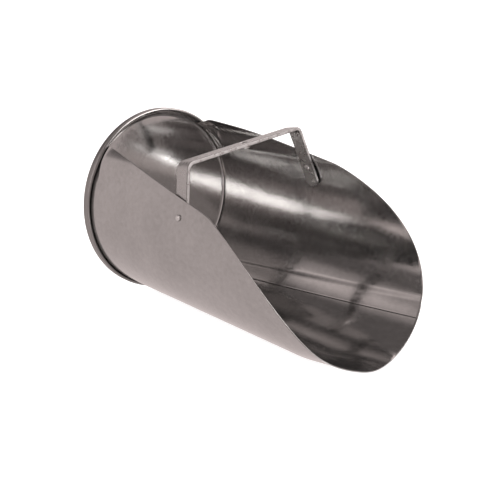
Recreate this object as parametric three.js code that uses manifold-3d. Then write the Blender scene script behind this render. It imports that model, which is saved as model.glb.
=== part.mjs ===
// Feed scoop: a round galvanised sheet body cut open at the top and front, closed at the back by
// a flanged disc, with a riveted flat-bar handle across the opening.
// Millimetres. +X runs from the back disc to the mouth, +Z is up. The origin is at the centre of
// the footprint, on the surface that the scoop lies on.

import * as THREE from 'three';
import { mergeVertices } from 'three/addons/utils/BufferGeometryUtils.js';
import Module from 'manifold-3d';

const wasm = await Module();
wasm.setup();

// Gap kept between pieces that touch on the real scoop.
const GAP = 0.3;

// Sheet body
const BODY_RADIUS = 85;
const SHEET_THICKNESS = 0.8;
const LIP_X = 257;

// Mouth outline. Angles around the body are measured from its lowest line, positive towards +Y.
const OPENING_ANGLE = 142;
const SHEET_END_ANGLE = 141;
const BEND_ANGLE = 116.5;
const BEND_X = 156;
const TONGUE_POWER = 3;
const BEND_ROUNDING = 4;

// Towards their cut edges the walls stand wider than the round floor, as soon as they leave the cap.
const WALL_SPREAD = 5;
const SPREAD_START_ANGLE = 115;
const SPREAD_END_ANGLE = 134;
const SPREAD_START_X = 8;
const SPREAD_END_X = 20;

// Lap seam: the left sheet lies inside the right one. The seam is slightly skew to the body.
const SEAM_ANGLE_BACK = 16;
const SEAM_ANGLE_MOUTH = 34.5;
const LAP_ANGLE = 8;
const JOGGLE_START_ANGLE = 9;
const JOGGLE_END_ANGLE = 14;

// End cap: disc with a hemmed flange slipped over the body
const FLANGE_INNER_RADIUS = BODY_RADIUS + 0.9;
const FLANGE_OUTER_RADIUS = BODY_RADIUS + 3.2;
const FLANGE_LENGTH = 7.5;
const HEM_RADIUS = (FLANGE_OUTER_RADIUS - FLANGE_INNER_RADIUS) / 2;
const BACK_CORNER_RADIUS = 2;

// Handle: one flat bar with two bends that leans back towards the cap. Each leg's
// outer face is a plane at a fixed distance from the body's axis. Distances along a leg are
// measured from the foot of that perpendicular.
const STRAP_WIDTH = 12.5;
const STRAP_THICKNESS = 3;
const CROSSBAR_TOP = 70.2;
const LEG_LEAN = 17;
const LEG_FACE_DISTANCE = 82.4;
const LEG_END_DROP = 13;
const BEND_OUTER_RADIUS = 7.5;
const BEND_INNER_RADIUS = BEND_OUTER_RADIUS - STRAP_THICKNESS;
const RIVET_X = 125;
const RIVET_RISE = 7.5;
const HANDLE_TILT = 7;

// Hanging hole in the crossbar, with the short collar that punching it leaves underneath
const HANG_HOLE_RADIUS = 3.3;
const COLLAR_RADIUS = 4.6;
const COLLAR_HEIGHT = 1.8;

// Rivets
const SHANK_RADIUS = 1.5;
const RIVET_HOLE_RADIUS = SHANK_RADIUS + GAP;
const RIVET_HOLE_LENGTH = 16;
const HEAD_RADIUS = 2.9;
const HEAD_HEIGHT = 1.7;
const TAIL_RADIUS = 3;
const TAIL_HEIGHT = 1.3;

// Mesh fineness
const DEGREES_PER_COLUMN = 3.6;
const SHEET_ROWS = 14;
const ROW_CROWDING = 1.6;
const CAP_SEGMENTS = 96;
const RIVET_SEGMENTS = 20;
const LEG_END_SEGMENTS = 16;
const ARC_STEPS = 6;
const MERGE_TOLERANCE = 1e-3;

const { lerp, smoothstep, degToRad } = THREE.MathUtils;

// --- solids ---------------------------------------------------------------------------------

function closedGeometry(geometry) {
  const bare = geometry.index ? geometry.clone() : mergeVertices(geometry);
  bare.deleteAttribute('normal');
  bare.deleteAttribute('uv');
  return mergeVertices(bare, MERGE_TOLERANCE);
}

function toSolid(geometry) {
  const closed = closedGeometry(geometry);
  const mesh = new wasm.Mesh({
    numProp: 3,
    vertProperties: new Float32Array(closed.attributes.position.array),
    triVerts: new Uint32Array(closed.index.array),
  });
  return new wasm.Manifold(mesh);
}

function toGeometry(solid) {
  const mesh = solid.getMesh();
  const geometry = new THREE.BufferGeometry();
  geometry.setAttribute('position', new THREE.BufferAttribute(mesh.vertProperties, 3));
  geometry.setIndex(new THREE.BufferAttribute(mesh.triVerts, 1));
  geometry.computeVertexNormals();
  return geometry;
}

// A profile of [radius, distance along X] points, turned about the X axis.
function turned(profile, segments) {
  const points = profile.map(([radius, along]) => new THREE.Vector2(radius, along));
  const geometry = closedGeometry(new THREE.LatheGeometry(points, segments));
  return geometry.rotateZ(-Math.PI / 2);
}

function arcPoints(centreX, centreY, radius, startDegrees, endDegrees) {
  const points = [];
  for (let i = 0; i <= ARC_STEPS; i++) {
    const angle = degToRad(lerp(startDegrees, endDegrees, i / ARC_STEPS));
    points.push([centreX + radius * Math.cos(angle), centreY + radius * Math.sin(angle)]);
  }
  return points;
}

// --- sheet body -----------------------------------------------------------------------------

// Smaller of two values, with the corner between them rounded.
function roundedMin(a, b, rounding) {
  return (a + b - Math.hypot(a - b, rounding)) / 2;
}

// Distance from the disc to the cut edge: a rounded tongue in front, then a straight shallow cut.
function mouthX(angle) {
  const size = Math.abs(angle);
  const tongue = LIP_X - (LIP_X - BEND_X) * (size / BEND_ANGLE) ** TONGUE_POWER;
  const shallowCut = BEND_X * (OPENING_ANGLE - size) / (OPENING_ANGLE - BEND_ANGLE);
  return roundedMin(tongue, shallowCut, BEND_ROUNDING);
}

function bodyRadius(angle, x) {
  const turn = smoothstep(Math.abs(angle), SPREAD_START_ANGLE, SPREAD_END_ANGLE);
  return BODY_RADIUS + WALL_SPREAD * turn * smoothstep(x, SPREAD_START_X, SPREAD_END_X);
}

// A sheet rolled around the body from one pair of edge angles to another. Each edge has an angle
// at the back and one at the mouth. The rows of faces are closest together at the back.
function rolledSheet(firstEdge, lastEdge, insetAt) {
  const span = Math.abs(lastEdge.mouth - firstEdge.mouth);
  const columns = Math.ceil(span / DEGREES_PER_COLUMN);
  const geometry = new THREE.BoxGeometry(1, 1, 1, columns, SHEET_ROWS, 1);
  const position = geometry.attributes.position;
  for (let i = 0; i < position.count; i++) {
    const across = position.getX(i) + 0.5;
    const along = (position.getY(i) + 0.5) ** ROW_CROWDING;
    const outward = position.getZ(i) + 0.5;
    const mouthAngle = lerp(firstEdge.mouth, lastEdge.mouth, across);
    const backAngle = lerp(firstEdge.back, lastEdge.back, across);
    const angle = lerp(backAngle, mouthAngle, along);
    const x = lerp(GAP, mouthX(mouthAngle), along);
    const inset = insetAt ? insetAt(angle, along) : 0;
    const radius = bodyRadius(angle, x) - inset - SHEET_THICKNESS * (1 - outward);
    const turn = degToRad(angle);
    position.setXYZ(i, x, radius * Math.sin(turn), -radius * Math.cos(turn));
  }
  return geometry;
}

// The left sheet steps inwards by one thickness where it lies on the right sheet.
function leftSheetInset(angle, along) {
  const seamAngle = lerp(SEAM_ANGLE_BACK, SEAM_ANGLE_MOUTH, along);
  const joggle = smoothstep(angle, seamAngle + JOGGLE_START_ANGLE, seamAngle + JOGGLE_END_ANGLE);
  return (SHEET_THICKNESS + GAP) * (1 - joggle);
}

function rivetHole(side) {
  const hole = new THREE.CylinderGeometry(
    RIVET_HOLE_RADIUS, RIVET_HOLE_RADIUS, RIVET_HOLE_LENGTH, RIVET_SEGMENTS);
  return toSolid(placeOnLeg(hole, side, LEG_FACE_DISTANCE, RIVET_RISE));
}

function buildRightSheet() {
  const topEdge = { back: -SHEET_END_ANGLE, mouth: -SHEET_END_ANGLE };
  const lapEdge = { back: SEAM_ANGLE_BACK + LAP_ANGLE, mouth: SEAM_ANGLE_MOUTH + LAP_ANGLE };
  const sheet = toSolid(rolledSheet(topEdge, lapEdge));
  return toGeometry(sheet.subtract(rivetHole(-1)));
}

function buildLeftSheet() {
  const lapEdge = { back: SEAM_ANGLE_BACK, mouth: SEAM_ANGLE_MOUTH };
  const topEdge = { back: SHEET_END_ANGLE, mouth: SHEET_END_ANGLE };
  const sheet = toSolid(rolledSheet(lapEdge, topEdge, leftSheetInset));
  return toGeometry(sheet.subtract(rivetHole(1)));
}

// --- end cap --------------------------------------------------------------------------------

function buildEndCap() {
  const hemCentre = FLANGE_LENGTH - HEM_RADIUS;
  const cornerRadius = FLANGE_OUTER_RADIUS - BACK_CORNER_RADIUS;
  const cornerX = BACK_CORNER_RADIUS - SHEET_THICKNESS;
  const profile = [
    [0, -SHEET_THICKNESS],
    ...arcPoints(cornerRadius, cornerX, BACK_CORNER_RADIUS, -90, 0),
    ...arcPoints(FLANGE_INNER_RADIUS + HEM_RADIUS, hemCentre, HEM_RADIUS, 0, 180),
    [FLANGE_INNER_RADIUS, 0],
    [0, 0],
  ];
  return turned(profile, CAP_SEGMENTS);
}

// --- handle ---------------------------------------------------------------------------------

// Leans a part of the handle back about the line through both rivets.
function tilted(geometry) {
  const lean = degToRad(LEG_LEAN);
  const rivetZ = LEG_FACE_DISTANCE * Math.sin(lean) + RIVET_RISE * Math.cos(lean);
  geometry.translate(-RIVET_X, 0, -rivetZ);
  geometry.rotateY(-degToRad(HANDLE_TILT));
  return geometry.translate(RIVET_X, 0, rivetZ);
}

// Moves a shape whose own Y axis is the leg's outward normal to a place on the leg.
function placeOnLeg(geometry, side, distance, rise) {
  const lean = degToRad(LEG_LEAN);
  const normal = new THREE.Vector3(0, side * Math.cos(lean), Math.sin(lean));
  const upLeg = new THREE.Vector3(0, -side * Math.sin(lean), Math.cos(lean));
  geometry.rotateX(Math.atan2(normal.z, normal.y));
  const place = normal.multiplyScalar(distance).addScaledVector(upLeg, rise);
  return tilted(geometry.translate(RIVET_X, place.y, place.z));
}

// Half of the bar's edge in the YZ plane at a depth below its outer face, from the crossbar's
// middle to the leg's end. The radius rounds the corner.
function halfEdge(depth, cornerRadius) {
  const lean = degToRad(LEG_LEAN);
  const top = CROSSBAR_TOP - depth;
  const face = LEG_FACE_DISTANCE - depth;
  const centreZ = top - cornerRadius;
  const centreY = (face - cornerRadius - centreZ * Math.sin(lean)) / Math.cos(lean);
  const endY = face * Math.cos(lean) + LEG_END_DROP * Math.sin(lean);
  const endZ = face * Math.sin(lean) - LEG_END_DROP * Math.cos(lean);
  return [...arcPoints(centreY, centreZ, cornerRadius, 90, LEG_LEAN), [endY, endZ]];
}

function mirrored(points) {
  return points.map(([y, z]) => [-y, z]).toReversed();
}

function bentBar() {
  const outer = halfEdge(0, BEND_OUTER_RADIUS);
  const inner = halfEdge(STRAP_THICKNESS, BEND_INNER_RADIUS);
  const outline = [
    ...mirrored(outer), ...outer, ...inner.toReversed(), ...mirrored(inner).toReversed()];
  const shape = new THREE.Shape(outline.map(([y, z]) => new THREE.Vector2(y, z)));
  const bar = new THREE.ExtrudeGeometry(shape, { depth: STRAP_WIDTH, bevelEnabled: false });
  bar.rotateX(Math.PI / 2);
  bar.rotateZ(Math.PI / 2);
  return tilted(bar.translate(RIVET_X - STRAP_WIDTH / 2, 0, 0));
}

// The waste around a leg's half-round end.
function endWaste(side) {
  const radius = STRAP_WIDTH / 2;
  const reach = STRAP_WIDTH;
  const shape = new THREE.Shape();
  shape.moveTo(-reach, 0);
  shape.lineTo(-radius, 0);
  shape.absarc(0, 0, radius, Math.PI, 2 * Math.PI, false);
  shape.lineTo(reach, 0);
  shape.lineTo(reach, -reach);
  shape.lineTo(-reach, -reach);
  const depth = 2 * STRAP_THICKNESS;
  const waste = new THREE.ExtrudeGeometry(
    shape, { depth, bevelEnabled: false, curveSegments: LEG_END_SEGMENTS });
  waste.translate(0, 0, -depth / 2);
  waste.rotateX(side * Math.PI / 2);
  const faceMiddle = LEG_FACE_DISTANCE - STRAP_THICKNESS / 2;
  return toSolid(placeOnLeg(waste, side, faceMiddle, radius - LEG_END_DROP));
}

function uprightDisc(radius, top, bottom) {
  const disc = new THREE.CylinderGeometry(radius, radius, top - bottom, RIVET_SEGMENTS);
  disc.rotateX(Math.PI / 2);
  return toSolid(tilted(disc.translate(RIVET_X, 0, (top + bottom) / 2)));
}

function buildHandle() {
  const middle = CROSSBAR_TOP - STRAP_THICKNESS / 2;
  const collarBottom = CROSSBAR_TOP - STRAP_THICKNESS - COLLAR_HEIGHT;
  const holeTop = CROSSBAR_TOP + STRAP_THICKNESS;
  const holeBottom = collarBottom - STRAP_THICKNESS;
  let bar = toSolid(bentBar());
  bar = bar.add(uprightDisc(COLLAR_RADIUS, middle, collarBottom));
  bar = bar.subtract(uprightDisc(HANG_HOLE_RADIUS, holeTop, holeBottom));
  for (const side of [-1, 1]) {
    bar = bar.subtract(endWaste(side));
    bar = bar.subtract(rivetHole(side));
  }
  return toGeometry(bar);
}

// --- rivets ---------------------------------------------------------------------------------

// Half of a low dome's profile, from its rim to its top.
function domeProfile(radius, height, base, direction) {
  const points = [];
  for (let i = 0; i <= ARC_STEPS; i++) {
    const angle = (Math.PI / 2) * (i / ARC_STEPS);
    points.push([radius * Math.cos(angle), base + direction * height * Math.sin(angle)]);
  }
  points[points.length - 1][0] = 0;
  return points;
}

// The leg's outer face is the rivet's zero. The wall curves away under the head, which rests on
// the wall at one side of its rim.
function buildRivet(side) {
  const skew = Math.asin(RIVET_RISE / BODY_RADIUS);
  const wallTop = BODY_RADIUS * Math.cos(skew) + HEAD_RADIUS * Math.sin(skew);
  const wallFace = wallTop + GAP - LEG_FACE_DISTANCE;
  const barFace = -STRAP_THICKNESS - GAP;
  const tail = domeProfile(TAIL_RADIUS, TAIL_HEIGHT, barFace, -1).reverse();
  const head = domeProfile(HEAD_RADIUS, HEAD_HEIGHT, wallFace, 1);
  const profile = [...tail, [SHANK_RADIUS, barFace], [SHANK_RADIUS, wallFace], ...head];
  const points = profile.map(([radius, along]) => new THREE.Vector2(radius, along));
  const rivet = closedGeometry(new THREE.LatheGeometry(points, RIVET_SEGMENTS));
  return placeOnLeg(rivet, side, LEG_FACE_DISTANCE, RIVET_RISE);
}

// --- materials and assembly -----------------------------------------------------------------

const galvanisedSheet = new THREE.MeshStandardMaterial({
  color: 0x8f8a88, roughness: 0.3, metalness: 1 });
const galvanisedCap = new THREE.MeshStandardMaterial({
  color: 0x8a8786, roughness: 0.25, metalness: 1 });
const galvanisedBar = new THREE.MeshStandardMaterial({
  color: 0x9a9594, roughness: 0.4, metalness: 1 });
const rivetSteel = new THREE.MeshStandardMaterial({
  color: 0xb5b2b0, roughness: 0.3, metalness: 1 });

const scoop = new THREE.Group();
const middleX = (LIP_X - SHEET_THICKNESS) / 2;
scoop.position.set(-middleX, 0, FLANGE_OUTER_RADIUS);

function addPart(name, geometry, material) {
  const mesh = new THREE.Mesh(geometry, material);
  mesh.name = name;
  scoop.add(mesh);
}

addPart('body_sheet_right', buildRightSheet(), galvanisedSheet);
addPart('body_sheet_left', buildLeftSheet(), galvanisedSheet);
addPart('end_cap', buildEndCap(), galvanisedCap);
addPart('handle_strap', buildHandle(), galvanisedBar);
addPart('rivet_right', buildRivet(-1), rivetSteel);
addPart('rivet_left', buildRivet(1), rivetSteel);

export default scoop;
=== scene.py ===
import math

import bmesh
import bpy
from mathutils import Matrix, Vector, noise


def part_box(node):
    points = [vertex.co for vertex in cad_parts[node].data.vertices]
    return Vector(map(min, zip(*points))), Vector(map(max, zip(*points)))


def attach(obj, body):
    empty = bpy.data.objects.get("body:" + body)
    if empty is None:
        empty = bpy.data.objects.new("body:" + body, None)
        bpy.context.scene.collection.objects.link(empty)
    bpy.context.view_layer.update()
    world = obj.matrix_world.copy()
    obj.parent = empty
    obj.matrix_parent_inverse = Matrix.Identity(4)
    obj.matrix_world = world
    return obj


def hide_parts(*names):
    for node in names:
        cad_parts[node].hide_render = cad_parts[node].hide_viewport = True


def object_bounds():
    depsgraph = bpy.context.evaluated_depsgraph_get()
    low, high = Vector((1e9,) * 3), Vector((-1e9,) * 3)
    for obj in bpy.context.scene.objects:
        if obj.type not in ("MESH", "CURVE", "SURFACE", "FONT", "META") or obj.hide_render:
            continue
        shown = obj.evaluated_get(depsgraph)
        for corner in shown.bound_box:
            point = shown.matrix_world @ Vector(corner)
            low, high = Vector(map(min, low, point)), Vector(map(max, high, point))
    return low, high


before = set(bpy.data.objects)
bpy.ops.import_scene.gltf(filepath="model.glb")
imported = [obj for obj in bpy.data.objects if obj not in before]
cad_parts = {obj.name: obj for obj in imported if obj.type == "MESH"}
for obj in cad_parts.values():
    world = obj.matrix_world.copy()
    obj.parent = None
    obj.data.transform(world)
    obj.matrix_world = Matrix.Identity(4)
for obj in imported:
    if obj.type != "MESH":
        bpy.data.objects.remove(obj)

cad_low, cad_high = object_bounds()

# ---------------------------------------------------------------------------------------------
# Sizes. Millimetres and degrees. The shapes are worked out in the body's own coordinates:
# x from the disc's front face towards the mouth, z up from the body's axis. Angles around the
# body run from its lowest line and are positive towards +Y. What the frame gives is read from
# it, and the other values repeat the CAD's driving dimensions.
# ---------------------------------------------------------------------------------------------

MM = 0.001
cap_low, cap_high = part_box("end_cap")
sheet_low, sheet_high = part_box("body_sheet_right")

# The sheet, the gap between body and disc, and what the frame gives.
SHEET = 0.8
GAP = 0.3
AXIS_Z = (cap_low.z + cap_high.z) / 2 / MM
DISC_X = cap_low.x / MM + SHEET
FLANGE_OUTER_R = (cap_high.z - cap_low.z) / 2 / MM
FLANGE_LENGTH = cap_high.x / MM - DISC_X
LIP_X = sheet_high.x / MM - DISC_X
BODY_R = AXIS_Z - sheet_low.z / MM

# The slanted cut of the mouth: its tongue, its bend, and the shallow cut back to the disc.
OPENING_ANGLE = 142
SHEET_END_ANGLE = 141
BEND_ANGLE = 116.5
BEND_X = 156
TONGUE_POWER = 3
BEND_ROUNDING = 4

# The walls stand a little outside the circle towards their upper edges.
WALL_SPREAD = 5
SPREAD_ANGLES = (115, 134)
SPREAD_X = (6.5, 17)

# The skew lap seam, and the step of the inner sheet beside it.
SEAM_BACK = 16
SEAM_MOUTH = 34.5
LAP_ANGLE = 8
JOGGLE_ANGLES = (9, 14)
LAP_GAP = 0.08

# The handle, its rivets and its hanging hole.
STRAP_WIDTH = 12.5
STRAP_THICKNESS = 3
CROSSBAR_TOP = 70.2
LEG_LEAN = math.radians(17)
LEG_FACE = 82.4
LEG_END_DROP = 13
BEND_OUTER_R = 7.5
RIVET_X = 125
RIVET_RISE = 7.5
HANDLE_TILT = math.radians(7)
HOLE_R = 3.3
COLLAR_R = 4.6
COLLAR_HEIGHT = 1.8


def smoothstep(low, high, value):
    """0 up to low, 1 from high, and smooth between them."""
    t = min(max((value - low) / (high - low), 0), 1)
    return t * t * (3 - 2 * t)


def lerp(a, b, t):
    return a + (b - a) * t


def to_row(x, y, z):
    """A point from the body's coordinates in millimetres to the row frame in metres."""
    return Vector(((x + DISC_X) * MM, y * MM, (z + AXIS_Z) * MM))


# ---------------------------------------------------------------------------------------------
# Materials
# ---------------------------------------------------------------------------------------------

METALLIC = 0.98

# How many of each mark there are to a metre, and how much each counts in the zinc's colour.
MOTTLE, MOTTLE_SHARE = 260, 0.42
CLOUD, CLOUD_SHARE = 28, 0.48
CRYSTAL, CRYSTAL_SHARE = 380, 0.1
SPECKLE = 750
GRAIN, GRAIN_STRETCH = 900, (0.12, 1, 1)

# Bump of the finer marks as shares of the dents' depth.
SPECKLE_DEPTH = 0.35
GRAIN_DEPTH = 0.1

# The mottle's worn and dull ends, as shares of the metal's roughness.
WORN = 0.7
UNWORN = 1.4

# A layer on a mesh's faces marks those that are darker and rougher, such as cut edges.
DULLED = "dulled"
CUT_COLOUR = (0.2, 0.195, 0.19)
CUT_ROUGHNESS = 0.3


class Metal:
    """Builds one procedural metal: mottled and clouded zinc with crystals, dents and grain."""

    def __init__(self, name):
        self.material = bpy.data.materials.new(name)
        self.material.use_nodes = True
        self.nodes = self.material.node_tree.nodes
        self.links = self.material.node_tree.links
        self.shader = self.nodes["Principled BSDF"]
        self.shader.inputs["Metallic"].default_value = METALLIC
        self.place = self.nodes.new("ShaderNodeTexCoord").outputs["Object"]

    def stretched(self, scale):
        mapping = self.nodes.new("ShaderNodeMapping")
        mapping.inputs["Scale"].default_value = scale
        self.links.new(self.place, mapping.inputs["Vector"])
        return mapping.outputs["Vector"]

    def noise(self, per_metre, detail=3, stretch=(1, 1, 1)):
        texture = self.nodes.new("ShaderNodeTexNoise")
        texture.inputs["Scale"].default_value = per_metre
        texture.inputs["Detail"].default_value = detail
        self.links.new(self.stretched(stretch), texture.inputs["Vector"])
        return texture.outputs["Fac"]

    def spangle(self, per_metre):
        """Zinc crystals: cells that each have their own even value."""
        texture = self.nodes.new("ShaderNodeTexVoronoi")
        texture.inputs["Scale"].default_value = per_metre
        self.links.new(self.stretched((1, 1, 1)), texture.inputs["Vector"])
        parts = self.nodes.new("ShaderNodeSeparateColor")
        self.links.new(texture.outputs["Color"], parts.inputs["Color"])
        return parts.outputs["Red"]

    def dulled(self):
        """1 on the faces of cut and rounded edges, less on the cap's outer part, 0 elsewhere."""
        attribute = self.nodes.new("ShaderNodeAttribute")
        attribute.attribute_name = DULLED
        return attribute.outputs["Fac"]

    def spread(self, value, low, high, to_low, to_high):
        spread = self.nodes.new("ShaderNodeMapRange")
        self.links.new(value, spread.inputs["Value"])
        for name, number in zip(("From Min", "From Max", "To Min", "To Max"),
                                (low, high, to_low, to_high)):
            spread.inputs[name].default_value = number
        return spread.outputs["Result"]

    def combine(self, operation, a, b):
        node = self.nodes.new("ShaderNodeMath")
        node.operation = operation
        for socket, value in zip(node.inputs, (a, b)):
            if isinstance(value, (int, float)):
                socket.default_value = value
            else:
                self.links.new(value, socket)
        return node.outputs["Value"]

    def mix(self, a, b, amount):
        mix = self.nodes.new("ShaderNodeMix")
        mix.data_type = "RGBA"
        for name, colour in (("A", a), ("B", b)):
            if isinstance(colour, tuple):
                mix.inputs[name].default_value = (*colour, 1)
            else:
                self.links.new(colour, mix.inputs[name])
        self.links.new(amount, mix.inputs["Factor"])
        return mix.outputs["Result"]

    def colour(self, value):
        self.links.new(value, self.shader.inputs["Base Color"])

    def roughness(self, value):
        self.links.new(value, self.shader.inputs["Roughness"])

    def bump(self, height, depth, below=None):
        bump = self.nodes.new("ShaderNodeBump")
        bump.inputs["Distance"].default_value = depth * MM
        self.links.new(height, bump.inputs["Height"])
        if below:
            self.links.new(below, bump.inputs["Normal"])
        return bump.outputs["Normal"]

    def normal(self, value):
        self.links.new(value, self.shader.inputs["Normal"])


def zinc_finish(name, light, dark, roughness, dent_depth):
    """A zinc-coated metal between two colours. The depth of its dents is in millimetres."""
    metal = Metal(name)
    mottle = metal.noise(MOTTLE, 4)
    cloud = metal.noise(CLOUD, 2)
    grain = metal.noise(GRAIN, 2, GRAIN_STRETCH)
    spangle = metal.spangle(CRYSTAL)
    edge = metal.dulled()
    blend = metal.combine("ADD", metal.combine("MULTIPLY", mottle, MOTTLE_SHARE),
                          metal.combine("MULTIPLY", cloud, CLOUD_SHARE))
    blend = metal.combine("ADD", blend, metal.combine("MULTIPLY", spangle, CRYSTAL_SHARE))
    zinc = metal.mix(dark, light, metal.spread(blend, 0.35, 0.65, 0, 1))
    metal.colour(metal.mix(zinc, CUT_COLOUR, edge))
    worn = metal.spread(mottle, 0.3, 0.7, roughness * WORN, roughness * UNWORN)
    metal.roughness(metal.combine("ADD", worn, metal.combine("MULTIPLY", edge, CUT_ROUGHNESS)))
    dents = metal.bump(mottle, dent_depth)
    speckle = metal.bump(metal.noise(SPECKLE, 3), dent_depth * SPECKLE_DEPTH, dents)
    metal.normal(metal.bump(grain, dent_depth * GRAIN_DEPTH, speckle))
    return metal.material


sheet_metal = zinc_finish("galvanised_sheet", light=(0.44, 0.435, 0.43),
                          dark=(0.375, 0.37, 0.365), roughness=0.12, dent_depth=0.022)
cap_metal = zinc_finish("galvanised_cap", light=(0.45, 0.445, 0.44),
                        dark=(0.4, 0.395, 0.39), roughness=0.1, dent_depth=0.025)
bar_metal = zinc_finish("galvanised_bar", light=(0.45, 0.445, 0.44),
                        dark=(0.39, 0.385, 0.38), roughness=0.3, dent_depth=0.012)
rivet_metal = zinc_finish("rivet_steel", light=(0.6, 0.595, 0.59),
                          dark=(0.5, 0.495, 0.49), roughness=0.2, dent_depth=0.03)


# ---------------------------------------------------------------------------------------------
# Making pieces
# ---------------------------------------------------------------------------------------------

WELD = 0.001
SQUARE_EDGE = math.radians(60)
EDGE_SEGMENTS = 3
NORMAL_WEIGHT = 90


def add_piece(name, points, faces, material, node, edge_round=0, dull=None):
    """A smooth closed mesh from points in the body's coordinates. It stands for one CAD node.
    With edge_round, its square edges are rounded by that many millimetres. dull gives how dull
    the face of a number is, from 0 to 1."""
    mesh = bpy.data.meshes.new(name)
    mesh.from_pydata([to_row(*point) for point in points], [], faces)
    shape = bmesh.new()
    shape.from_mesh(mesh)
    dulled = shape.faces.layers.float.new(DULLED)
    for number, face in enumerate(shape.faces):
        face[dulled] = dull(number) if dull else 0
    bmesh.ops.remove_doubles(shape, verts=shape.verts, dist=WELD * MM)
    bmesh.ops.recalc_face_normals(shape, faces=shape.faces)
    if edge_round:
        square = [edge for edge in shape.edges if edge.calc_face_angle(0) > SQUARE_EDGE]
        rounded = bmesh.ops.bevel(shape, geom=square, offset=edge_round * MM,
                                  segments=EDGE_SEGMENTS, profile=0.5, affect="EDGES")
        for face in rounded["faces"]:
            face[dulled] = 1
    shape.to_mesh(mesh)
    shape.free()
    mesh.materials.append(material)
    mesh.shade_smooth()
    piece = bpy.data.objects.new(name, mesh)
    bpy.context.scene.collection.objects.link(piece)
    normals = piece.modifiers.new("normals", "WEIGHTED_NORMAL")
    normals.weight = NORMAL_WEIGHT
    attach(piece, "root")
    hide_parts(node)


def grid_faces(rows, columns, start=0, closed=False):
    """Faces of a grid of points stored row by row. A closed grid joins its last column to its
    first."""
    faces = []
    width = columns if closed else columns + 1
    for row in range(rows):
        for column in range(columns):
            after = (column + 1) % width
            a, b = start + row * width, start + (row + 1) * width
            faces.append((a + column, a + after, b + after, b + column))
    return faces


def lathe(profile, segments):
    """Points and faces of a closed profile of [radius, distance] turned about an axis.
    The points come back as (distance, across, up). The profile starts and ends on the axis."""
    points = [(profile[0][1], 0, 0)]
    for radius, along in profile[1:-1]:
        for i in range(segments):
            turn = 2 * math.pi * i / segments
            points.append((along, radius * math.sin(turn), radius * math.cos(turn)))
    points.append((profile[-1][1], 0, 0))
    rings = len(profile) - 2
    faces = grid_faces(rings - 1, segments, 1, True)
    last = len(points) - 1
    for i in range(segments):
        after = (i + 1) % segments
        faces.append((0, 1 + after, 1 + i))
        start = 1 + (rings - 1) * segments
        faces.append((last, start + i, start + after))
    return points, faces


def arc(centre_a, centre_b, radius, start, end, steps):
    """Points of an arc, as [first coordinate, second coordinate]. Angles in degrees."""
    points = []
    for i in range(steps + 1):
        turn = math.radians(lerp(start, end, i / steps))
        points.append([centre_a + radius * math.cos(turn), centre_b + radius * math.sin(turn)])
    return points


# ---------------------------------------------------------------------------------------------
# Body sheets
# ---------------------------------------------------------------------------------------------

DEGREES_PER_COLUMN = 0.75
SHEET_ROWS = 170
ROW_CROWDING = 1.15
EDGE_NOSE = 0.22
EDGE_STEPS = 4

# The sheet's slight unevenness, the dimple round each rivet, and the bent-up part of the lip.
WAVE = 45
WAVE_DEPTH = 0.1
RIPPLES_PER_WAVE = 3
RIPPLE_DEPTH = 0.04
ARC_PER_DEGREE = 1.5
DIMPLE_DEPTH = 0.35
DIMPLE_WIDTH = 4.5
LIP_LIFT = 4.5
LIP_LIFT_ANGLE = -33
LIP_LIFT_WIDTH = 22
LIP_LIFT_X = (215, 256)


def mouth_x(angle):
    """Distance from the disc to the cut edge: a rounded tongue, then a straight shallow cut."""
    size = abs(angle)
    tongue = LIP_X - (LIP_X - BEND_X) * (size / BEND_ANGLE) ** TONGUE_POWER
    shallow_cut = BEND_X * (OPENING_ANGLE - size) / (OPENING_ANGLE - BEND_ANGLE)
    return (tongue + shallow_cut - math.hypot(tongue - shallow_cut, BEND_ROUNDING)) / 2


RIVET_Z = LEG_FACE * math.sin(LEG_LEAN) + RIVET_RISE * math.cos(LEG_LEAN)
RIVET_Y = LEG_FACE * math.cos(LEG_LEAN) - RIVET_RISE * math.sin(LEG_LEAN)
RIVET_ANGLE = 90 + math.degrees(math.atan2(RIVET_Z, RIVET_Y))


def body_radius(angle, x):
    """Radius of the sheets' outer face, with what bends it out of a plain cylinder."""
    turn = smoothstep(*SPREAD_ANGLES, abs(angle))
    radius = BODY_R + WALL_SPREAD * turn * smoothstep(*SPREAD_X, x)
    place = Vector((x, angle * ARC_PER_DEGREE, 0)) / WAVE
    radius += (WAVE_DEPTH * noise.noise(place)
               + RIPPLE_DEPTH * noise.noise(place * RIPPLES_PER_WAVE))
    lift = math.exp(-((angle - LIP_LIFT_ANGLE) / LIP_LIFT_WIDTH) ** 2)
    radius -= LIP_LIFT * lift * smoothstep(*LIP_LIFT_X, x)
    away = math.hypot(x - RIVET_X, math.radians(abs(angle) - RIVET_ANGLE) * BODY_R)
    return radius - DIMPLE_DEPTH * math.exp(-(away / DIMPLE_WIDTH) ** 2)


def rim_of_grid(rows, columns):
    """Numbers of the points round a grid's edge, in order."""
    width = columns + 1
    rim = list(range(columns))
    rim += [row * width + columns for row in range(rows)]
    rim += [rows * width + column for column in range(columns, 0, -1)]
    return rim + [row * width for row in range(rows, 0, -1)]


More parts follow.
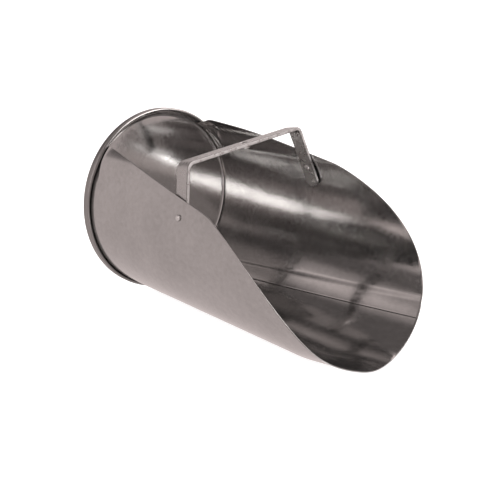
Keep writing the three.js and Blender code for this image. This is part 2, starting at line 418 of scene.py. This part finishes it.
def nosed_edge(rim, outer, radial):
    """A small rounded nose from the outer face's rim to the inner face's. Its points are
    numbered after those of the two faces."""
    count = len(outer)
    points, rings = [], [rim]
    for step in range(1, EDGE_STEPS):
        turn = math.pi * step / EDGE_STEPS
        ring = []
        for k, index in enumerate(rim):
            tangent = (outer[rim[(k + 1) % len(rim)]] - outer[rim[k - 1]]).normalized()
            outward = radial[index].cross(tangent).normalized() * -EDGE_NOSE
            middle = outer[index] - radial[index] * SHEET / 2
            ring.append(2 * count + len(points))
            points.append(middle + radial[index] * (SHEET / 2 * math.cos(turn))
                          + outward * math.sin(turn))
        rings.append(ring)
    rings.append([index + count for index in rim])
    faces = []
    for ring, after in zip(rings, rings[1:]):
        for k in range(len(rim)):
            following = (k + 1) % len(rim)
            faces.append((ring[following], ring[k], after[k], after[following]))
    return points, faces


def rolled_sheet(name, first_edge, last_edge, inset_at, node):
    """A sheet rolled around the body. Each edge has an angle at the back and one at the mouth.
    inset_at gives how far the sheet lies inside the body's outer face."""
    columns = math.ceil(abs(last_edge[1] - first_edge[1]) / DEGREES_PER_COLUMN)
    outer, radial = [], []
    for row in range(SHEET_ROWS + 1):
        along = (row / SHEET_ROWS) ** ROW_CROWDING
        for column in range(columns + 1):
            across = column / columns
            mouth_angle = lerp(first_edge[1], last_edge[1], across)
            angle = lerp(lerp(first_edge[0], last_edge[0], across), mouth_angle, along)
            x = lerp(GAP, mouth_x(mouth_angle), along)
            radius = body_radius(angle, x) - inset_at(angle, along)
            turn = math.radians(angle)
            away = Vector((0, math.sin(turn), -math.cos(turn)))
            outer.append(Vector((x, 0, 0)) + away * radius)
            radial.append(away)
    inner = [point - away * SHEET for point, away in zip(outer, radial)]
    edge_points, edge_faces = nosed_edge(rim_of_grid(SHEET_ROWS, columns), outer, radial)
    sheet_faces = grid_faces(SHEET_ROWS, columns) + grid_faces(SHEET_ROWS, columns, len(outer))
    add_piece(name, outer + inner + edge_points, sheet_faces + edge_faces, sheet_metal,
              node, dull=lambda number: number >= len(sheet_faces))


def left_inset(angle, along):
    """The left sheet steps inwards by one thickness where it lies on the right sheet."""
    seam = lerp(SEAM_BACK, SEAM_MOUTH, along)
    joggle = smoothstep(seam + JOGGLE_ANGLES[0], seam + JOGGLE_ANGLES[1], angle)
    return (SHEET + LAP_GAP) * (1 - joggle)


def make_body():
    rolled_sheet("right_body_sheet", (-SHEET_END_ANGLE, -SHEET_END_ANGLE),
                 (SEAM_BACK + LAP_ANGLE, SEAM_MOUTH + LAP_ANGLE), lambda angle, along: 0,
                 "body_sheet_right")
    rolled_sheet("left_body_sheet", (SEAM_BACK, SEAM_MOUTH), (SHEET_END_ANGLE, SHEET_END_ANGLE),
                 left_inset, "body_sheet_left")


# ---------------------------------------------------------------------------------------------
# End cap
# ---------------------------------------------------------------------------------------------

CAP_SEGMENTS = 288
FLANGE_INNER_R = BODY_R + 0.45
HEM_R = (FLANGE_OUTER_R - FLANGE_INNER_R) / 2
BACK_CORNER_R = 2
FILLET_WIDTH = 3.6
FILLET_RISE = 0.9
FILLET_GAP = 0.3
FILLET_SHARES = (0.15, 0.3, 0.45, 0.6, 0.75, 0.9, 1)
LIP_NOSE = 0.25
LIP_NOSE_SWEEP = 110
CORNER_STEPS = 8
HEM_STEPS = 12
NOSE_STEPS = 5
FLANGE_NECK = ((0.25, 2.6), (0.2, 1.4))
DISC_RINGS = (30, 60, 75)
BACK_RINGS = (40, 75)
# How much darker and rougher the flange and its hem are made than the disc, from 0 to 1.
FLANGE_DARKENING = 0.7


def make_cap():
    """One pressed disc: flat back, rounded corner, hemmed flange, and a fillet inside that
    lifts the disc's rim just inside the end of the body."""
    hem_x = FLANGE_LENGTH - HEM_R
    corner_r = FLANGE_OUTER_R - BACK_CORNER_R
    lip_r = BODY_R - SHEET - FILLET_GAP - LIP_NOSE
    profile = [[0, -SHEET]] + [[radius, -SHEET] for radius in BACK_RINGS]
    profile += arc(corner_r, BACK_CORNER_R - SHEET, BACK_CORNER_R, -90, 0, CORNER_STEPS)
    profile += [[FLANGE_OUTER_R - inset, hem_x - behind] for inset, behind in FLANGE_NECK]
    profile += arc(FLANGE_INNER_R + HEM_R, hem_x, HEM_R, 0, 180, HEM_STEPS)
    profile += [[FLANGE_INNER_R, 0.6], [FLANGE_INNER_R - 0.3, 0.05], [lip_r + LIP_NOSE, 0.05]]
    profile += arc(lip_r, FILLET_RISE - LIP_NOSE, LIP_NOSE, 0, LIP_NOSE_SWEEP, NOSE_STEPS)
    profile += [[lip_r - FILLET_WIDTH * share, (FILLET_RISE - LIP_NOSE / 2) * (1 - share) ** 2]
                for share in FILLET_SHARES]
    profile += [[radius, 0] for radius in reversed(DISC_RINGS)] + [[0, 0]]
    points, faces = lathe(profile, CAP_SEGMENTS)

    def flange_darkening(number):
        """The flange, its hem and the flat ring behind them are darker and rougher than the
        disc.
        The flat ring isn't meant to be: it counts because its outer points are as far out."""
        radius = max(math.hypot(*points[index][1:]) for index in faces[number])
        return FLANGE_DARKENING if radius > FLANGE_INNER_R - 0.2 else 0

    add_piece("flanged_end_cap", points, faces, cap_metal, "end_cap",
              dull=flange_darkening)


# ---------------------------------------------------------------------------------------------
# Handle and rivets
# ---------------------------------------------------------------------------------------------

STRAP_COLUMNS = 10
BEND_STEPS = 14
LEG_STEPS = 16
BAR_STEPS = 30
HOLE_RINGS = 3
STRAP_EDGE = 0.45


def tilted(x, y, z):
    """Leans a point of the handle back about the line through both rivets."""
    dx, dz = x - RIVET_X, z - RIVET_Z
    return Vector((RIVET_X + dx * math.cos(HANDLE_TILT) - dz * math.sin(HANDLE_TILT), y,
                   RIVET_Z + dx * math.sin(HANDLE_TILT) + dz * math.cos(HANDLE_TILT)))


CORNER_Z = CROSSBAR_TOP - BEND_OUTER_R
CORNER_Y = (LEG_FACE - BEND_OUTER_R - CORNER_Z * math.sin(LEG_LEAN)) / math.cos(LEG_LEAN)
BEND_MIDDLE_R = BEND_OUTER_R - STRAP_THICKNESS / 2
BEND_SWEEP = math.pi / 2 - LEG_LEAN
BEND_LENGTH = BEND_MIDDLE_R * BEND_SWEEP
LEG_LENGTH = CORNER_Z * math.cos(LEG_LEAN) - CORNER_Y * math.sin(LEG_LEAN) + LEG_END_DROP
HALF_LENGTH = CORNER_Y + BEND_LENGTH + LEG_LENGTH


def strap_point(along, across, depth):
    """A place on the bar: along it from the crossbar's middle, across its width, and below its
    outer face."""
    side = -1 if along < 0 else 1
    length = abs(along)
    turn = min(max((length - CORNER_Y) / BEND_MIDDLE_R, 0), BEND_SWEEP)
    out = Vector((math.sin(turn), math.cos(turn)))
    onward = Vector((math.cos(turn), -math.sin(turn)))
    place = Vector((CORNER_Y, CORNER_Z)) + out * (BEND_OUTER_R - depth)
    place += onward * (min(length - CORNER_Y, 0) + max(length - CORNER_Y - BEND_LENGTH, 0))
    return tilted(RIVET_X + across, side * place.x, place.y)


def strap_stations():
    """Distances along half of the bar, from the edge of the hole's square to the round end."""
    half = STRAP_WIDTH / 2
    stations = [lerp(half, CORNER_Y, i / BAR_STEPS) for i in range(BAR_STEPS)]
    stations += [CORNER_Y + BEND_LENGTH * i / BEND_STEPS for i in range(BEND_STEPS)]
    leg_start, leg_end = CORNER_Y + BEND_LENGTH, HALF_LENGTH - half
    stations += [lerp(leg_start, leg_end, i / LEG_STEPS) for i in range(LEG_STEPS)]
    return stations + [leg_end + half * i / STRAP_COLUMNS * 2
                       for i in range(STRAP_COLUMNS // 2 + 1)]


def flat_place(along, across_share):
    """Rounds the bar's end: the last half-width of its outline is mapped to a half-disc."""
    half = STRAP_WIDTH / 2
    reach = (abs(along) - (HALF_LENGTH - half)) / half
    if reach <= 0:
        return along, across_share * half
    side = -1 if along < 0 else 1
    length = HALF_LENGTH - half + reach * half * math.sqrt(1 - across_share ** 2 / 2)
    return side * length, across_share * half * math.sqrt(1 - reach ** 2 / 2)


def half_bar(side, depth):
    """Points of one side's half of the bar's face at a depth, row by row."""
    points = []
    for station in strap_stations():
        for column in range(STRAP_COLUMNS + 1):
            share = 2 * column / STRAP_COLUMNS - 1
            along, across = flat_place(side * station, share)
            points.append(strap_point(along, across, depth))
    return points


def square_outline():
    """Points round the square about the hole, in order, as (along, across)."""
    half, count = STRAP_WIDTH / 2, STRAP_COLUMNS
    steps = [2 * half * i / count - half for i in range(count)]
    outline = [(half, step) for step in steps]
    outline += [(-step, half) for step in steps]
    outline += [(-half, -step) for step in steps]
    outline += [(step, -half) for step in steps]
    return outline


def hole_section():
    """Radius and depth round the hole: its rolled edge, its wall, and the collar beneath."""
    collar_end = STRAP_THICKNESS + COLLAR_HEIGHT
    return [(HOLE_R + 0.35, 0), (HOLE_R + 0.1, 0.06), (HOLE_R, 0.25), (HOLE_R, 2),
            (HOLE_R, collar_end - 0.3), (HOLE_R + 0.3, collar_end),
            (COLLAR_R - 0.35, collar_end), (COLLAR_R, collar_end - 0.3),
            (COLLAR_R + 0.05, STRAP_THICKNESS + 0.45), (COLLAR_R + 0.35, STRAP_THICKNESS)]


def hole_region(outline):
    """The square about the hanging hole: rings of points from the square's outline on the top
    face, through the hole, to the same outline on the underside."""
    section = hole_section()
    square = [Vector(place) for place in outline]
    rings = []
    for k in range(HOLE_RINGS):
        rings.append([(place.lerp(place.normalized() * section[0][0], k / HOLE_RINGS), 0)
                      for place in square])
    rings += [[(place.normalized() * radius, depth) for place in square]
              for radius, depth in section]
    for k in range(1, HOLE_RINGS + 1):
        rings.append([((place.normalized() * section[-1][0]).lerp(place, k / HOLE_RINGS),
                       STRAP_THICKNESS) for place in square])
    points = [strap_point(place.x, place.y, depth) for ring in rings for place, depth in ring]
    return points, grid_faces(len(rings) - 1, len(outline), 0, True)


def make_strap():
    """The bar: the square about its hole, and the two halves that run from it to the ends."""
    square = square_outline()
    points, faces = hole_region(square)
    under_ring = len(points) - len(square)
    rows = len(strap_stations()) - 1
    width = STRAP_COLUMNS + 1
    for side in (-1, 1):
        top = len(points)
        points += half_bar(side, 0)
        under = len(points)
        points += half_bar(side, STRAP_THICKNESS)
        faces += grid_faces(rows, STRAP_COLUMNS, top) + grid_faces(rows, STRAP_COLUMNS, under)
        edge = [row * width for row in range(rows + 1)]
        edge += [rows * width + column for column in range(1, STRAP_COLUMNS)]
        edge += [row * width + STRAP_COLUMNS for row in range(rows, -1, -1)]
        faces += [(top + a, top + b, under + b, under + a) for a, b in zip(edge, edge[1:])]
    for k in range(len(square)):
        after = (k + 1) % len(square)
        if abs(square[k][1]) == abs(square[after][1]) == STRAP_WIDTH / 2:
            faces.append((k, after, under_ring + after, under_ring + k))
    add_piece("flat_bar_handle", points, faces, bar_metal, "handle_strap",
              edge_round=STRAP_EDGE)


RIVET_SEGMENTS = 40
HEAD_R = 2.4
HEAD_HEIGHT = 1.4
TAIL_R = 3
TAIL_HEIGHT = 1.3
SHANK_R = 1.5
DOME_STEPS = 10
DOME_BASE = 0.12
DOME_BASE_SHARE = 0.97
DOME_FULLNESS = 0.8
HEAD_SEAT = 0.15


def dome(radius, height, base, way):
    """A low dome's half profile from its rim to its top, with a soft worn rim. way is 1 where
    the dome rises outwards, and -1 where it rises into the bowl."""
    points = [[radius * DOME_BASE_SHARE, base]]
    for i in range(DOME_STEPS + 1):
        turn = math.pi / 2 * i / DOME_STEPS
        points.append([radius * math.cos(turn) ** DOME_FULLNESS + 1e-4,
                       base + way * (DOME_BASE + (height - DOME_BASE) * math.sin(turn))])
    points[-1][0] = 0
    return points


def make_rivet(name, side, node):
    """A domed head outside the wall, a shank through wall and leg, and a set tail inside."""
    wall_face = BODY_R - LEG_FACE - HEAD_SEAT
    bar_face = -STRAP_THICKNESS
    tail = dome(TAIL_R, TAIL_HEIGHT, bar_face, -1)[::-1]
    head = dome(HEAD_R, HEAD_HEIGHT, wall_face, 1)
    profile = tail + [[SHANK_R, bar_face], [SHANK_R, wall_face]] + head
    local, faces = lathe(profile, RIVET_SEGMENTS)
    outward = Vector((0, side * math.cos(LEG_LEAN), math.sin(LEG_LEAN)))
    up_leg = Vector((0, -side * math.sin(LEG_LEAN), math.cos(LEG_LEAN)))
    centre = Vector((RIVET_X, 0, 0)) + outward * LEG_FACE + up_leg * RIVET_RISE
    points = []
    for along, across, up in local:
        place = centre + outward * along + Vector((across, 0, 0)) + up_leg * up
        points.append(tilted(*place))
    add_piece(name, points, faces, rivet_metal, node)


make_body()
make_cap()
make_strap()
make_rivet("right_rivet", -1, "rivet_right")
make_rivet("left_rivet", 1, "rivet_left")


# ---------------------------------------------------------------------------------------------
# Studio: floor, lights, world and camera
# ---------------------------------------------------------------------------------------------

def direction(azimuth, elevation):
    """Azimuth 0 looks from -Y and turns towards +X, as the camera's does. Degrees."""
    a, e = math.radians(azimuth), math.radians(elevation)
    return Vector((math.sin(a) * math.cos(e), -math.cos(a) * math.cos(e), math.sin(e)))


COVE_R = 3.0
COVE_CORNER_R = 0.6
COVE_CORNER_STEPS = 8
COVE_HEIGHT = 2.4
COVE_RINGS = (0.02, 0.1, 0.3, 0.8)
COVE_SEGMENTS = 64
COVE_GREY = 0.5
COVE_GLOW = 0.78


def make_cove():
    """A round pale floor that curves up into a wall. It glows a little, so that it stays white
    behind the scoop. The metal reflects the world instead, and the cove doesn't shade it."""
    profile = [(COVE_R * share, 0) for share in COVE_RINGS]
    for k in range(COVE_CORNER_STEPS + 1):
        turn = math.pi / 2 * k / COVE_CORNER_STEPS
        profile.append((COVE_R - COVE_CORNER_R * (1 - math.sin(turn)),
                        COVE_CORNER_R * (1 - math.cos(turn))))
    profile.append((COVE_R, COVE_HEIGHT))
    turns = [2 * math.pi * i / COVE_SEGMENTS for i in range(COVE_SEGMENTS)]
    points = [(radius * math.sin(turn), radius * math.cos(turn), height)
              for radius, height in profile for turn in turns]
    mesh = bpy.data.meshes.new("cove")
    mesh.from_pydata(points, [], grid_faces(len(profile) - 1, COVE_SEGMENTS, 0, True)
                     + [tuple(range(COVE_SEGMENTS))[::-1]])
    paper = bpy.data.materials.new("cove_paper")
    paper.use_nodes = True
    shader = paper.node_tree.nodes["Principled BSDF"]
    shader.inputs["Base Color"].default_value = (COVE_GREY, COVE_GREY, COVE_GREY, 1)
    shader.inputs["Roughness"].default_value = 0.9
    shader.inputs["Specular IOR Level"].default_value = 0.0
    shader.inputs["Emission Color"].default_value = (1, 1, 1, 1)
    shader.inputs["Emission Strength"].default_value = COVE_GLOW
    mesh.materials.append(paper)
    cove = bpy.data.objects.new("cove", mesh)
    cove.visible_glossy = False
    cove.visible_shadow = False
    bpy.context.scene.collection.objects.link(cove)


AIM_HEIGHT = 0.09
TABLE_GLOW_HEIGHT = 0.001


def light_panel(name, place, facing, size, radiance):
    """A rectangular light, given in metres and by the brightness of its face. It shows only as
    a reflection in the metal, so it casts no hard shadow on the floor."""
    data = bpy.data.lights.new(name, "AREA")
    data.shape = "RECTANGLE"
    data.size, data.size_y = size
    data.energy = radiance * math.pi * size[0] * size[1]
    light = bpy.data.objects.new(name, data)
    light.location = place
    light.rotation_mode = "QUATERNION"
    light.rotation_quaternion = facing.to_track_quat("-Z", "Y")
    light.visible_camera = False
    light.visible_diffuse = False
    bpy.context.scene.collection.objects.link(light)
    return light


def softbox(name, azimuth, elevation, distance, spans, radiance):
    """A light panel aimed at the scoop, given by the angles that it spans in degrees."""
    away = direction(azimuth, elevation)
    size = [2 * distance * math.tan(math.radians(span / 2)) for span in spans]
    place = Vector((0, 0, AIM_HEIGHT)) + away * distance
    return light_panel(name, place, -away, size, radiance)


def table_glow(name, low, high, radiance):
    """A lit patch of the table in front of the mouth, from corner to corner in millimetres."""
    centre = (Vector(low) + Vector(high)) / 2 * MM
    size = (Vector(high) - Vector(low)) * MM
    place = (centre.x, centre.y, TABLE_GLOW_HEIGHT)
    light_panel(name, place, Vector((0, 0, 1)), size, radiance)


def ceiling_light():
    """A wide soft light above that the metal doesn't mirror. It gives the floor's faint contact
    shadow."""
    light = softbox("ceiling", 0, 90, 1.8, (60, 60), 1.5)
    light.visible_diffuse = True
    light.visible_glossy = False


# The room's brightness low down and overhead, the elevations between which it fades, its tint.
LOW_RADIANCE = 0.7
HIGH_RADIANCE = 0.14
FADE_START = 24
FADE_END = 33
WARM_GREY = (1.1, 0.96, 0.94, 1)

# Each glow's azimuth, elevation and radius in degrees, and its strength at its centre.
GLOWS = [
    (140, 38, 40, 2.0),    # wide and soft, around the side softbox
    (80, 46, 22, 0.5),     # high beyond the mouth
    (204, 34, 18, 2.2),    # left of the scoop, towards its back
    (0, 38, 20, 3.0),      # right of the scoop
    (290, 56, 14, 0.4),    # two faint ones high behind the disc
    (306, 53, 16, 0.36),
    (136, 70, 22, 3.0),    # nearly overhead, above the side softbox
    (50, -15, 13, 0.8),    # low, the lit table further out
]


def make_world():
    """A warm grey room: bright low down, dark overhead, with soft round glows."""
    world = bpy.data.worlds.new("studio")
    world.use_nodes = True
    nodes, links = world.node_tree.nodes, world.node_tree.links
    place = nodes.new("ShaderNodeTexCoord").outputs["Generated"]

    def fade(value, low, high, to_low, to_high):
        node = nodes.new("ShaderNodeMapRange")
        node.interpolation_type = "SMOOTHSTEP"
        links.new(value, node.inputs["Value"])
        for name, number in zip(("From Min", "From Max", "To Min", "To Max"),
                                (low, high, to_low, to_high)):
            node.inputs[name].default_value = number
        return node.outputs["Result"]

    parts = nodes.new("ShaderNodeSeparateXYZ")
    links.new(place, parts.inputs["Vector"])
    total = fade(parts.outputs["Z"], math.sin(math.radians(FADE_START)),
                 math.sin(math.radians(FADE_END)), LOW_RADIANCE, HIGH_RADIANCE)
    for azimuth, elevation, radius, strength in GLOWS:
        closeness = nodes.new("ShaderNodeVectorMath")
        closeness.operation = "DOT_PRODUCT"
        links.new(place, closeness.inputs[0])
        closeness.inputs[1].default_value = direction(azimuth, elevation)
        glow = fade(closeness.outputs["Value"], math.cos(math.radians(radius)), 1, 0, strength)
        add = nodes.new("ShaderNodeMath")
        links.new(total, add.inputs[0])
        links.new(glow, add.inputs[1])
        total = add.outputs["Value"]
    links.new(total, nodes["Background"].inputs["Strength"])
    nodes["Background"].inputs["Color"].default_value = WARM_GREY
    bpy.context.scene.world = world


CAMERA_AZIMUTH = 45.4
CAMERA_ELEVATION = 24.34
CAMERA_ROLL = -4.67
CAMERA_LENS = 40.03
CAMERA_DISTANCE = 0.4711
AIM_OFFSET = Vector((0.0008, -0.0113, -0.0188))


def make_camera():
    """The camera at the photograph's angle, held by the model's box."""
    back = direction(CAMERA_AZIMUTH, CAMERA_ELEVATION)
    right = direction(CAMERA_AZIMUTH + 90, 0)
    up = back.cross(right)
    aim = (cad_low + cad_high) / 2 + AIM_OFFSET
    data = bpy.data.cameras.new("camera")
    data.lens = CAMERA_LENS
    data.clip_start, data.clip_end = 0.01, 20
    camera = bpy.data.objects.new("camera", data)
    turn = Matrix((right, up, back)).transposed().to_4x4()
    roll = Matrix.Rotation(math.radians(CAMERA_ROLL), 4, "Z")
    camera.matrix_world = Matrix.Translation(aim + back * CAMERA_DISTANCE) @ turn @ roll
    bpy.context.scene.collection.objects.link(camera)
    bpy.context.scene.camera = camera


make_cove()
make_world()
ceiling_light()
softbox("side_core", 127, 30, 0.8, (37, 18), 12.0)
table_glow("table_glow", (142, -108), (200, -50), 8.0)
table_glow("table_glow_wide", (131, -150), (240, -15), 1.8)
make_camera()
bpy.context.scene.view_settings.view_transform = "Standard"
